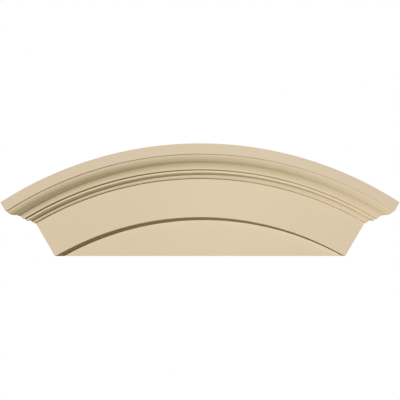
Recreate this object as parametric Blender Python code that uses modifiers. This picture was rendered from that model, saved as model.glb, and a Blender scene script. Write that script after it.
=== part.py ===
"""Segmental pediment, moulded in one piece: a curved crown moulding over a plain frieze band and a recessed
tympanum, with a flat foot and a flat back. Metres, +Z up, front facing -Y, origin on the back, on the centre
line, half way between the foot and the top of the arc."""

import math

import bmesh
import bpy

# The elevation: one arc along the top, a flat foot, and an end on each side that lies on a radius of the arc.
ARC_RADIUS = 1.4025
HEIGHT = 0.435
FOOT_WIDTH = 1.127

# Thickness at the wall, and how far the frieze stands in front of the tympanum.
TYMPANUM_THICKNESS = 0.020
RECESS_DEPTH = 0.019

# Height of each member, measured along a radius, from the top edge down.
FASCIA_HEIGHT = 0.0403
CYMA_HEIGHT = 0.0578
FILLET_HEIGHT = 0.0116
CAVETTO_HEIGHT = 0.0160
BASE_FILLET_HEIGHT = 0.0058

# How far each member stands out beyond the one below it, from the frieze up.
BASE_FILLET_PROJECTION = 0.0048
BASE_FILLET_SPLAY = 0.0023
CAVETTO_PROJECTION = 0.0157
FILLET_STEP = 0.0065
CYMA_PROJECTION = 0.0332
FASCIA_STEP = 0.0031

# How far round each curve goes: the two halves of the cyma are arcs of a circle, the cavetto nearly a quarter.
CYMA_SWEEP = math.radians(60)
CAVETTO_SWEEP = math.radians(85)

# Fineness of the curves, and the spare length by which the rough arch runs past the finished outline.
CURVE_STEPS = 6
ARC_STEPS = 96
SPARE = 0.04
WELD_DISTANCE = 0.0001
SMOOTH_ANGLE = math.radians(20)

PRIMER_COLOUR = (0.723, 0.597, 0.429, 1.0)
PRIMER_ROUGHNESS = 0.62

HALF_HEIGHT = HEIGHT / 2
ARC_CENTRE_Z = HALF_HEIGHT - ARC_RADIUS
FOOT_DROP = ARC_RADIUS - HEIGHT
END_ANGLE = math.atan2(FOOT_WIDTH / 2, FOOT_DROP)
# The frieze's lower edge is an arc that springs from the two corners of the foot.
RECESS_RADIUS = math.hypot(FOOT_WIDTH / 2, FOOT_DROP)


def round_curve(start, end, sweep):
    """A bulging arc, stretched to fit, that leaves its top parallel to the wall, as (drop, projection)."""
    points = []
    for step in range(1, CURVE_STEPS + 1):
        angle = sweep * step / CURVE_STEPS
        down = math.sin(angle) / math.sin(sweep)
        inward = (1 - math.cos(angle)) / (1 - math.cos(sweep))
        points.append((start[0] + (end[0] - start[0]) * down, start[1] + (end[1] - start[1]) * inward))
    return points


def hollow_curve(start, end, sweep):
    """A hollow arc that reaches its foot parallel to the wall: the bulging arc, turned about."""
    return round_curve(end, start, sweep)[-2::-1] + [end]


def crown_face():
    """The crown's face from the top edge down to the frieze, as (drop from the top edge, projection)."""
    base_fillet_top = BASE_FILLET_PROJECTION + BASE_FILLET_SPLAY
    fillet = base_fillet_top + CAVETTO_PROJECTION
    cyma_foot = fillet + FILLET_STEP
    cyma_top = cyma_foot + CYMA_PROJECTION
    fascia = cyma_top + FASCIA_STEP

    fascia_foot = FASCIA_HEIGHT
    cyma_middle = fascia_foot + CYMA_HEIGHT / 2
    cyma_end = fascia_foot + CYMA_HEIGHT
    fillet_end = cyma_end + FILLET_HEIGHT
    cavetto_end = fillet_end + CAVETTO_HEIGHT
    crown_foot = cavetto_end + BASE_FILLET_HEIGHT

    turn = (cyma_middle, cyma_foot + CYMA_PROJECTION / 2)
    face = [(0.0, fascia), (fascia_foot, fascia), (fascia_foot, cyma_top)]
    face += round_curve((fascia_foot, cyma_top), turn, CYMA_SWEEP)
    face += hollow_curve(turn, (cyma_end, cyma_foot), CYMA_SWEEP)
    face += [(cyma_end, fillet), (fillet_end, fillet)]
    face += hollow_curve((fillet_end, fillet), (cavetto_end, base_fillet_top), CAVETTO_SWEEP)
    face += [(crown_foot, BASE_FILLET_PROJECTION), (crown_foot, 0.0)]
    return face


def cross_section():
    """The whole arch cut across, as (radius, distance in front of the wall), once round."""
    frieze_face = TYMPANUM_THICKNESS + RECESS_DEPTH
    face = [(ARC_RADIUS - drop, frieze_face + projection) for drop, projection in crown_face()]
    inner = FOOT_DROP - SPARE
    face += [(RECESS_RADIUS, frieze_face), (RECESS_RADIUS, TYMPANUM_THICKNESS), (inner, TYMPANUM_THICKNESS)]
    return face + [(inner, 0.0), (ARC_RADIUS, 0.0)]


def return_point(radius, projection):
    """Where a member's mitred return shows in elevation at the right-hand end, as (x, z)."""
    along = math.sqrt(radius**2 - projection**2)
    x = along * math.sin(END_ANGLE) + projection * math.cos(END_ANGLE)
    z = along * math.cos(END_ANGLE) - projection * math.sin(END_ANGLE)
    return x, ARC_CENTRE_Z + z


def elevation():
    """The outline seen from the front, once round, left open above the arc by the spare length."""
    face = crown_face()
    right = [(FOOT_WIDTH / 2, -HALF_HEIGHT)]
    right += [return_point(ARC_RADIUS - drop, projection) for drop, projection in reversed(face)]
    right.append(return_point(ARC_RADIUS + SPARE, face[0][1]))
    right.append((right[-1][0], HALF_HEIGHT + SPARE))
    return right + [(-x, z) for x, z in reversed(right)]


def evaluated_object(source, name, collection):
    """A plain mesh object of what the source looks like with its modifiers on, in place of the source."""
    bpy.context.view_layer.update()
    evaluated = source.evaluated_get(bpy.context.evaluated_depsgraph_get())
    mesh = bpy.data.meshes.new_from_object(evaluated)
    mesh.transform(source.matrix_world)
    bpy.data.objects.remove(source)
    result = bpy.data.objects.new(name, mesh)
    collection.objects.link(result)
    return result


def close_up(mesh):
    """Weld the mesh, fill its open ends and turn its faces outwards."""
    work = bmesh.new()
    work.from_mesh(mesh)
    bmesh.ops.remove_doubles(work, verts=work.verts, dist=WELD_DISTANCE)
    bmesh.ops.holes_fill(work, edges=work.edges)
    bmesh.ops.recalc_face_normals(work, faces=work.faces)
    work.to_mesh(mesh)
    work.free()


def turned_arch(collection):
    """The cross-section turned about the arc's centre, past both ends of the finished piece."""
    tip_x, tip_z = return_point(ARC_RADIUS, crown_face()[0][1])
    reach = math.atan2(tip_x, tip_z - ARC_CENTRE_Z) + SPARE / ARC_RADIUS
    section = cross_section()
    points = [(radius * math.sin(reach), -depth, radius * math.cos(reach)) for radius, depth in section]
    edges = [(index, (index + 1) % len(points)) for index in range(len(points))]
    mesh = bpy.data.meshes.new("cross_section")
    mesh.from_pydata(points, edges, [])
    profile = bpy.data.objects.new("cross_section", mesh)
    profile.location.z = ARC_CENTRE_Z
    collection.objects.link(profile)

    screw = profile.modifiers.new("turn", "SCREW")
    screw.axis = "Y"
    screw.angle = -2 * reach
    screw.steps = screw.render_steps = ARC_STEPS
    arch = evaluated_object(profile, "pediment", collection)
    close_up(arch.data)
    return arch


def outline_block(collection):
    """A block with the elevation's outline, deep enough to pass through the arch from front to back."""
    curve = bpy.data.curves.new("outline", "CURVE")
    curve.dimensions = "2D"
    curve.fill_mode = "BOTH"
    depth = cross_section()[0][1]
    curve.extrude = depth / 2 + SPARE
    outline = elevation()
    spline = curve.splines.new("POLY")
    spline.points.add(len(outline) - 1)
    for point, (x, z) in zip(spline.points, outline):
        point.co = (x, z, 0.0, 1.0)
    spline.use_cyclic_u = True

    flat = bpy.data.objects.new("outline", curve)
    flat.rotation_euler.x = math.pi / 2
    flat.location.y = -depth / 2
    collection.objects.link(flat)
    block = evaluated_object(flat, "outline_block", collection)
    close_up(block.data)
    block.hide_render = True
    block.display_type = "WIRE"
    return block


def primer_material():
    """Tan factory primer on moulded urethane foam."""
    material = bpy.data.materials.new("primed_urethane")
    material.use_nodes = True
    shader = material.node_tree.nodes["Principled BSDF"]
    shader.inputs["Base Color"].default_value = PRIMER_COLOUR
    shader.inputs["Roughness"].default_value = PRIMER_ROUGHNESS
    shader.inputs["Metallic"].default_value = 0.0
    return material


def new_collection(name):
    collection = bpy.data.collections.new(name)
    bpy.context.scene.collection.children.link(collection)
    return collection


def main():
    for old in list(bpy.data.objects):
        bpy.data.objects.remove(old)
    parts = new_collection("segmental_pediment")
    cutters = new_collection("cutters")

    arch = turned_arch(parts)
    trim = arch.modifiers.new("trim_to_outline", "BOOLEAN")
    trim.operation = "INTERSECT"
    trim.solver = "EXACT"
    trim.object = outline_block(cutters)
    weld = arch.modifiers.new("weld_mitres", "WELD")
    weld.merge_threshold = WELD_DISTANCE

    pediment = evaluated_object(arch, "pediment", parts)
    pediment.data.materials.clear()
    pediment.data.materials.append(primer_material())
    pediment.data.shade_smooth()
    pediment.data.set_sharp_from_angle(angle=SMOOTH_ANGLE)


main()
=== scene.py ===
"""A moulded segmental pediment in tan primer, in a white studio, seen square on through an 85 mm lens."""

import math

import bpy
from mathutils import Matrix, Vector


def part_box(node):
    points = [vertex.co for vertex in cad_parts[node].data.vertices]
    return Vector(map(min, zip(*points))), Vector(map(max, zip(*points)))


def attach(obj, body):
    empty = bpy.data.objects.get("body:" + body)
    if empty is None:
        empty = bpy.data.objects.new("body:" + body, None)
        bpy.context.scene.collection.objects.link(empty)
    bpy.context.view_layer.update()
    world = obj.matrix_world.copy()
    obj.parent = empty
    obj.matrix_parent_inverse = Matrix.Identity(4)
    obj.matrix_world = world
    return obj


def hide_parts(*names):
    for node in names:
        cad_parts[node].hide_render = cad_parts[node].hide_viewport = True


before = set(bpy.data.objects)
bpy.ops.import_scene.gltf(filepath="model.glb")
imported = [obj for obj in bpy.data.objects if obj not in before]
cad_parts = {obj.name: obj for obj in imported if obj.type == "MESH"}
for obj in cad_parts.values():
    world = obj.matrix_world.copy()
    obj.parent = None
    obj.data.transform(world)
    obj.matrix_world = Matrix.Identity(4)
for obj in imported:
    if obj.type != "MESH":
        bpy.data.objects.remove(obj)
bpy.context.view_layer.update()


# The pediment. One moulding of rigid urethane foam, poured in a closed mould and primed tan at the works. It
# has a curved crown with mitred returns, a plain frieze band and a recessed tympanum, and is bonded and
# screwed to the wall by its flat back, with its flat foot on the head of the door or window below.
MM = 0.001
box_low, box_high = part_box("pediment")
front_y = box_low[1]
foot_z = box_low[2]
top_z = box_high[2]
height = top_z - foot_z

ARC_RADIUS = 1402.5 * MM
FOOT_WIDTH = 1127.0 * MM
TYMPANUM_THICKNESS = 20.0 * MM
RECESS_DEPTH = 19.0 * MM

FASCIA_HEIGHT = 40.3 * MM
CYMA_HEIGHT = 57.8 * MM
FILLET_HEIGHT = 11.6 * MM
CAVETTO_HEIGHT = 16.0 * MM
BASE_FILLET_HEIGHT = 5.8 * MM

BASE_FILLET_PROJECTION = 4.8 * MM
BASE_FILLET_SPLAY = 2.3 * MM
CAVETTO_PROJECTION = 15.7 * MM
FILLET_STEP = 6.5 * MM
CYMA_PROJECTION = 33.2 * MM

MOULD_DRAFT = 0.005
CYMA_SWEEP = math.radians(60)
CAVETTO_SWEEP = math.radians(85)
CYMA_STEPS = 14
CAVETTO_STEPS = 10
ARC_COLUMNS = 181
ARRIS_RADIUS = 0.4 * MM
ARRIS_STEPS = 3
ARRIS_TURN = math.radians(25)

arc_centre_z = top_z - ARC_RADIUS
foot_drop = ARC_RADIUS - height
end_angle = math.atan2(FOOT_WIDTH / 2, foot_drop)
recess_radius = math.hypot(FOOT_WIDTH / 2, foot_drop)
frieze_face = TYMPANUM_THICKNESS + RECESS_DEPTH
fascia_face = -front_y


def bulge(start, end, sweep_angle, steps):
    """A stretched arc of this sweep, after its start, that leaves its top parallel to the wall."""
    line = []
    for step in range(1, steps + 1):
        angle = sweep_angle * step / steps
        down = math.sin(angle) / math.sin(sweep_angle)
        inward = (1 - math.cos(angle)) / (1 - math.cos(sweep_angle))
        line.append(Vector((start.x + (end.x - start.x) * down, start.y + (end.y - start.y) * inward)))
    return line


def hollow(start, end, sweep_angle, steps):
    """The bulging arc turned about, so that it reaches its foot parallel to the wall."""
    return bulge(end, start, sweep_angle, steps)[-2::-1] + [end]


def step_in(point, depth):
    """The point reached by stepping in from here to another depth, with the mould's draft."""
    return Vector((point.x + abs(point.y - depth) * MOULD_DRAFT, depth))


def eased(corners, radius, steps):
    """The same outline with every arris and inside corner rounded, and a point beside each on the flats."""
    line = [corners[0]]
    for before, corner, after in zip(corners, corners[1:], corners[2:]):
        back, on = before - corner, after - corner
        turn = math.pi - back.angle(on)
        if turn < ARRIS_TURN:
            line.append(corner)
            continue
        cut = min(radius * math.tan(turn / 2), back.length / 4, on.length / 4)
        back, on = back.normalized() * cut, on.normalized() * cut
        line.append(corner + 2 * back)
        for step in range(steps + 1):
            way = step / steps
            line.append(corner + back * (1 - way) ** 2 + on * way ** 2)
        line.append(corner + 2 * on)
    return line + [corners[-1]]


# The section from the top edge down, as distances below the top edge and in front of the wall.
fillet_face = frieze_face + BASE_FILLET_PROJECTION + BASE_FILLET_SPLAY + CAVETTO_PROJECTION
cyma_foot_face = fillet_face + FILLET_STEP
fascia_foot = Vector((FASCIA_HEIGHT, fascia_face))
cyma_top = step_in(fascia_foot, cyma_foot_face + CYMA_PROJECTION)
cyma_turn = Vector((FASCIA_HEIGHT + CYMA_HEIGHT / 2, cyma_foot_face + CYMA_PROJECTION / 2))
cyma_foot = Vector((FASCIA_HEIGHT + CYMA_HEIGHT, cyma_foot_face))
fillet_top = step_in(cyma_foot, fillet_face)
fillet_foot = Vector((cyma_foot.x + FILLET_HEIGHT, fillet_face))
cavetto_foot = Vector((fillet_foot.x + CAVETTO_HEIGHT, fillet_face - CAVETTO_PROJECTION))
crown_foot = Vector((cavetto_foot.x + BASE_FILLET_HEIGHT, frieze_face + BASE_FILLET_PROJECTION))
frieze_foot = Vector((ARC_RADIUS - recess_radius, frieze_face))

corners = [Vector((0.0, 0.0)), Vector((0.0, fascia_face)), fascia_foot, cyma_top]
corners += bulge(cyma_top, cyma_turn, CYMA_SWEEP, CYMA_STEPS)
corners += hollow(cyma_turn, cyma_foot, CYMA_SWEEP, CYMA_STEPS)
corners += [fillet_top, fillet_foot] + hollow(fillet_foot, cavetto_foot, CAVETTO_SWEEP, CAVETTO_STEPS)
corners += [crown_foot, step_in(crown_foot, frieze_face)]
corners += [frieze_foot, step_in(frieze_foot, TYMPANUM_THICKNESS), Vector((height, TYMPANUM_THICKNESS))]

# Each point of the section also has its reach, which is how far the member returns round the end. The section
# runs up the front from the foot and down again on the wall.
face = eased(corners, ARRIS_RADIUS, ARRIS_STEPS)[1:]
front = [(point.x, point.y, max(point.y - frieze_face, 0.0)) for point in reversed(face)]
section = front + [(drop, 0.0, reach) for drop, depth, reach in reversed(front)]


def add(tree, kind, inputs=None, **settings):
    """Add one node. An input takes a plain value, a socket, or a node for the first of its outputs in use."""
    node = tree.nodes.new(kind)
    for name, value in settings.items():
        setattr(node, name, value)
    for key, value in (inputs or {}).items():
        if isinstance(value, bpy.types.Node):
            value = next(socket for socket in value.outputs if socket.enabled)
        if isinstance(value, bpy.types.NodeSocket):
            tree.links.new(value, node.inputs[key])
        else:
            node.inputs[key].default_value = value
    return node


def hex_linear(text):
    """Linear RGBA from an sRGB hex colour."""
    parts = [int(text[i:i + 2], 16) / 255 for i in (1, 3, 5)]
    return [p / 12.92 if p <= 0.04045 else ((p + 0.055) / 1.055) ** 2.4 for p in parts] + [1.0]


# Factory primer on moulded urethane: a thin tan acrylic film, sprayed on a surface that copies the mould. The
# eye sees almost one colour with an eggshell sheen, the faint peel of a sprayed coat, and a slight unevenness
# where the film is thinner.
PRIMER = "#DDCBB0"
PRIMER_THIN = "#DFCDB2"
CLOUD_SIZE = 160 * MM
CLOUD_DETAIL = 3.0
MOTTLE_SIZE = 14 * MM
MOTTLE_DETAIL = 2.0
PEEL_SIZE = 2.4 * MM
PEEL_DETAIL = 1.0
PEEL_HEIGHT = 0.03 * MM
PEEL_STRENGTH = 0.5
UNEVEN_FROM = 0.7
UNEVEN_TO = 1.3
LEAST_ROUGH = 0.33
MOST_ROUGH = 0.37
PRIMER_IOR = 1.6

primer = bpy.data.materials.new("primed_urethane")
primer.use_nodes = True
tree = primer.node_tree
shader = tree.nodes["Principled BSDF"]
place = add(tree, "ShaderNodeTexCoord").outputs["Object"]
clouds = add(tree, "ShaderNodeTexNoise", {"Vector": place, "Scale": 1 / CLOUD_SIZE, "Detail": CLOUD_DETAIL})
mottle = add(tree, "ShaderNodeTexNoise", {"Vector": place, "Scale": 1 / MOTTLE_SIZE, "Detail": MOTTLE_DETAIL})
peel = add(tree, "ShaderNodeTexNoise", {"Vector": place, "Scale": 1 / PEEL_SIZE, "Detail": PEEL_DETAIL})
uneven = add(tree, "ShaderNodeMath", {0: clouds, 1: mottle}, operation="ADD")
thin = add(tree, "ShaderNodeMapRange", {"Value": uneven, "From Min": UNEVEN_FROM, "From Max": UNEVEN_TO})
colour = add(tree, "ShaderNodeMix", {
    "Factor": thin, "A": hex_linear(PRIMER), "B": hex_linear(PRIMER_THIN)}, data_type="RGBA")
sheen = add(tree, "ShaderNodeMapRange", {"Value": mottle, "To Min": LEAST_ROUGH, "To Max": MOST_ROUGH})
bump = add(tree, "ShaderNodeBump", {"Height": peel, "Strength": PEEL_STRENGTH, "Distance": PEEL_HEIGHT})
tree.links.new(colour.outputs["Result"], shader.inputs["Base Color"])
tree.links.new(sheen.outputs["Result"], shader.inputs["Roughness"])
tree.links.new(bump.outputs["Normal"], shader.inputs["Normal"])
shader.inputs["IOR"].default_value = PRIMER_IOR


# The sweep. Three sheets are laid out flat and then bent: a long one wraps the section along the arch, and a
# short one makes the mitred return at each end. On a flat sheet X runs from -1 at the left end to 1 at the
# right, Y counts the section's points, and Z is 0 at the wall and 1 at the face.
WELD_DISTANCE = 0.005 * MM
SHARP_ANGLE = math.radians(40)

sweep = bpy.data.node_groups.new("mitred_arch", "GeometryNodeTree")


def take_in(name, kind):
    """Give the sweep one more named input, and return the name its modifier knows it by."""
    return sweep.interface.new_socket(name, in_out="INPUT", socket_type=kind).identifier


take_in("Section", "NodeSocketGeometry")
sweep_inputs = {
    take_in("Arc Radius", "NodeSocketFloat"): ARC_RADIUS,
    take_in("Arc Centre Height", "NodeSocketFloat"): arc_centre_z,
    take_in("Foot Drop", "NodeSocketFloat"): foot_drop,
    take_in("End Angle", "NodeSocketFloat"): end_angle,
    take_in("Section Points", "NodeSocketInt"): len(section),
    take_in("Front Points", "NodeSocketInt"): len(front),
    take_in("Arc Columns", "NodeSocketInt"): ARC_COLUMNS,
    take_in("Primer", "NodeSocketMaterial"): primer}
sweep.interface.new_socket("Moulding", in_out="OUTPUT", socket_type="NodeSocketGeometry")
given = add(sweep, "NodeGroupInput").outputs

rows = add(sweep, "ShaderNodeMath", {0: given["Section Points"], 1: 1.0}, operation="ADD")
long_sheet = add(sweep, "GeometryNodeMeshGrid", {
    "Size X": 2.0, "Size Y": given["Section Points"], "Vertices X": given["Arc Columns"], "Vertices Y": rows})
long_middle = add(sweep, "ShaderNodeMath", {0: given["Section Points"], 1: 0.5}, operation="MULTIPLY")
long_place = add(sweep, "ShaderNodeCombineXYZ", {"Y": long_middle, "Z": 1.0})
sheets = [add(sweep, "GeometryNodeTransform", {"Geometry": long_sheet, "Translation": long_place})]

front_span = add(sweep, "ShaderNodeMath", {0: given["Front Points"], 1: 1.0}, operation="SUBTRACT")
short_sheet = add(sweep, "GeometryNodeMeshGrid", {
    "Size X": 1.0, "Size Y": front_span, "Vertices X": 2, "Vertices Y": given["Front Points"]})
short_middle = add(sweep, "ShaderNodeMath", {0: front_span, 1: 0.5}, operation="MULTIPLY")
for side in (-1, 1):
    short_place = add(sweep, "ShaderNodeCombineXYZ", {"X": float(side), "Y": short_middle, "Z": 0.5})
    sheets.append(add(sweep, "GeometryNodeTransform", {
        "Geometry": short_sheet, "Translation": short_place, "Rotation": (0.0, side * math.pi / 2, 0.0)}))

flat = add(sweep, "GeometryNodeJoinGeometry")
for sheet in sheets:
    sweep.links.new(sheet.outputs["Geometry"], flat.inputs["Geometry"])

# Each point of a sheet looks up its point of the section and is bent round the arc's centre to where that
# runs. The arch runs round as far as the end's angle, and each member overhangs that by its own reach.
position = add(sweep, "GeometryNodeInputPosition")
on_sheet = add(sweep, "ShaderNodeSeparateXYZ", {"Vector": position}).outputs
row = add(sweep, "ShaderNodeMath", {0: on_sheet["Y"]}, operation="ROUND")
row = add(sweep, "ShaderNodeMath", {0: row, 1: given["Section Points"]}, operation="MODULO")
section_point = add(sweep, "GeometryNodeSampleIndex", {
    "Geometry": given["Section"], "Value": position, "Index": row}, data_type="FLOAT_VECTOR")
in_section = add(sweep, "ShaderNodeSeparateXYZ", {"Vector": section_point}).outputs
radius = add(sweep, "ShaderNodeMath", {0: given["Arc Radius"], 1: in_section["X"]}, operation="SUBTRACT")
overhang = add(sweep, "ShaderNodeMath", {0: in_section["Z"], 1: radius}, operation="DIVIDE")
overhang = add(sweep, "ShaderNodeMath", {0: overhang}, operation="ARCSINE")
reach = add(sweep, "ShaderNodeMath", {0: given["End Angle"], 1: overhang}, operation="ADD")
angle = add(sweep, "ShaderNodeMath", {0: on_sheet["X"], 1: reach}, operation="MULTIPLY")
across = add(sweep, "ShaderNodeMath", {0: angle}, operation="SINE")
upright = add(sweep, "ShaderNodeMath", {0: angle}, operation="COSINE")
to_foot = add(sweep, "ShaderNodeMath", {0: given["Foot Drop"], 1: upright}, operation="DIVIDE")
radius = add(sweep, "ShaderNodeMath", {0: radius, 1: to_foot}, operation="MAXIMUM")
x = add(sweep, "ShaderNodeMath", {0: radius, 1: across}, operation="MULTIPLY")
out = add(sweep, "ShaderNodeMath", {0: in_section["Y"], 1: on_sheet["Z"]}, operation="MULTIPLY")
y = add(sweep, "ShaderNodeMath", {0: out, 1: -1.0}, operation="MULTIPLY")
z = add(sweep, "ShaderNodeMath", {0: radius, 1: upright}, operation="MULTIPLY")
z = add(sweep, "ShaderNodeMath", {0: z, 1: given["Arc Centre Height"]}, operation="ADD")
on_arch = add(sweep, "ShaderNodeCombineXYZ", {"X": x, "Y": y, "Z": z})
bent = add(sweep, "GeometryNodeSetPosition", {"Geometry": flat, "Position": on_arch})
closed = add(sweep, "GeometryNodeMergeByDistance", {"Geometry": bent, "Distance": WELD_DISTANCE})
smooth = add(sweep, "GeometryNodeSetShadeSmooth", {"Geometry": closed, "Shade Smooth": True})
fold = add(sweep, "GeometryNodeInputMeshEdgeAngle")
mitre = add(sweep, "FunctionNodeCompare", {0: fold, 1: SHARP_ANGLE}, operation="GREATER_THAN")
crisp = add(sweep, "GeometryNodeSetShadeSmooth", {
    "Geometry": smooth, "Selection": mitre, "Shade Smooth": False}, domain="EDGE")
whole = add(sweep, "GeometryNodeRealizeInstances", {"Geometry": crisp})
primed = add(sweep, "GeometryNodeSetMaterial", {"Geometry": whole, "Material": given["Primer"]})
add(sweep, "NodeGroupOutput", {"Moulding": primed})

section_mesh = bpy.data.meshes.new("section")
section_mesh.from_pydata(section, [], [])
draft = bpy.data.objects.new("section", section_mesh)
bpy.context.scene.collection.objects.link(draft)
modifier = draft.modifiers.new("sweep", "NODES")
modifier.node_group = sweep
for identifier, value in sweep_inputs.items():
    modifier[identifier] = value

bpy.context.view_layer.update()
evaluated = draft.evaluated_get(bpy.context.evaluated_depsgraph_get())
pediment = bpy.data.objects.new("moulded_pediment", bpy.data.meshes.new_from_object(evaluated))
bpy.context.scene.collection.objects.link(pediment)
bpy.data.objects.remove(draft)

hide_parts("pediment")
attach(pediment, "root")


# The floor. White studio paper, laid well below the piece and out of the camera's view, which throws soft
# light up under the mouldings.
FLOOR_DROP = 2.60
FLOOR_BEHIND = 1.5
FLOOR_FRONT = 1.2
FLOOR_HALF_WIDTH = 3.0
PAPER = "#F5F1E2"
PAPER_ROUGHNESS = 0.9

floor_mesh = bpy.data.meshes.new("floor")
floor_mesh.from_pydata([
    (-FLOOR_HALF_WIDTH, -FLOOR_FRONT, -FLOOR_DROP), (FLOOR_HALF_WIDTH, -FLOOR_FRONT, -FLOOR_DROP),
    (FLOOR_HALF_WIDTH, FLOOR_BEHIND, -FLOOR_DROP), (-FLOOR_HALF_WIDTH, FLOOR_BEHIND, -FLOOR_DROP)],
    [], [(0, 1, 2, 3)])
floor = bpy.data.objects.new("floor", floor_mesh)
bpy.context.scene.collection.objects.link(floor)
paper = bpy.data.materials.new("white_paper")
paper.use_nodes = True
paper_shader = paper.node_tree.nodes["Principled BSDF"]
paper_shader.inputs["Base Color"].default_value = hex_linear(PAPER)
paper_shader.inputs["Roughness"].default_value = PAPER_ROUGHNESS
floor_mesh.materials.append(paper)


# The studio light. A hard key from the upper left, nearly as parallel as sunlight, draws the dark lines under
# the mouldings. A soft lamp beside the lens gives the face its faint sheen. A warm one near the floor and one
# behind fill the undersides and the back, and the white room is dim to everything but the camera.
WHITE = "#FFFFFF"
KEY_FROM = (-0.6885, -1.0, 0.638)
KEY_STRENGTH = 3.73
KEY_SPREAD = math.radians(1.0)
FRONT_PLACE = (0.24, -3.9, 0.0)
FRONT_WATTS = 8.3
FRONT_TINT = "#FFFBE7"
FRONT_WIDTH = 0.8
UNDER_PLACE = (0.0, -0.15, -2.5)
UNDER_WATTS = 20.5
UNDER_TINT = "#FFF3B8"
UNDER_LENGTH = 3.0
UNDER_WIDTH = 0.5
BACK_PLACE = (-0.8, 3.2, 1.2)
BACK_WATTS = 70.0
BACK_WIDTH = 1.6
ROOM_TINT = "#FFF9B3"
ROOM_LIGHT = 0.020


def lamp(name, kind, place, energy, tint, in_sheen=False):
    """Hang a lamp here, turned towards the piece. The primer mirrors only a lamp that is in its sheen."""
    data = bpy.data.lights.new(name, kind)
    data.energy = energy
    data.color = hex_linear(tint)[:3]
    made = bpy.data.objects.new(name, data)
    made.location = place
    made.rotation_euler = Vector(place).to_track_quat("Z", "Y").to_euler()
    made.visible_glossy = in_sheen
    bpy.context.scene.collection.objects.link(made)
    return data


key = lamp("key", "SUN", KEY_FROM, KEY_STRENGTH, WHITE)
key.angle = KEY_SPREAD
front_lamp = lamp("front", "AREA", FRONT_PLACE, FRONT_WATTS, FRONT_TINT, in_sheen=True)
front_lamp.size = FRONT_WIDTH
under_lamp = lamp("under", "AREA", UNDER_PLACE, UNDER_WATTS, UNDER_TINT)
under_lamp.shape = "RECTANGLE"
under_lamp.size = UNDER_LENGTH
under_lamp.size_y = UNDER_WIDTH
back_lamp = lamp("back", "AREA", BACK_PLACE, BACK_WATTS, WHITE)
back_lamp.size = BACK_WIDTH

world = bpy.data.worlds.new("white_room")
bpy.context.scene.world = world
world.use_nodes = True
room = world.node_tree
room.nodes.clear()
seen = add(room, "ShaderNodeLightPath").outputs["Is Camera Ray"]
dim = add(room, "ShaderNodeBackground", {"Color": hex_linear(ROOM_TINT), "Strength": ROOM_LIGHT})
white = add(room, "ShaderNodeBackground", {"Color": hex_linear(WHITE), "Strength": 1.0})
light = add(room, "ShaderNodeMixShader", {0: seen, 1: dim, 2: white})
add(room, "ShaderNodeOutputWorld", {"Surface": light})
bpy.context.scene.view_settings.view_transform = "Standard"


# The camera. Square on to the front, with the whole width of the piece filling the picture. In the photograph
# the tips are 399.3 pixels apart and the top of the arc is 56.66 pixels above the middle row.
LENS = 85.0
SENSOR = 36.0
PICTURE_WIDTH = 400
TIP_TO_TIP_PIXELS = 399.3
TOP_ABOVE_MIDDLE_PIXELS = 56.66
PIECE_RIGHT_OF_MIDDLE_PIXELS = 0.05

pixel = (box_high[0] - box_low[0]) / TIP_TO_TIP_PIXELS
distance = PICTURE_WIDTH * pixel * LENS / SENSOR
sideways = -PIECE_RIGHT_OF_MIDDLE_PIXELS * pixel
eye_level = top_z - TOP_ABOVE_MIDDLE_PIXELS * pixel
camera_data = bpy.data.cameras.new("camera")
camera_data.lens = LENS
camera_data.sensor_width = SENSOR
camera = bpy.data.objects.new("camera", camera_data)
camera.location = (sideways, front_y - distance, eye_level)
camera.rotation_euler = (math.pi / 2, 0.0, 0.0)
bpy.context.scene.collection.objects.link(camera)
bpy.context.scene.camera = camera
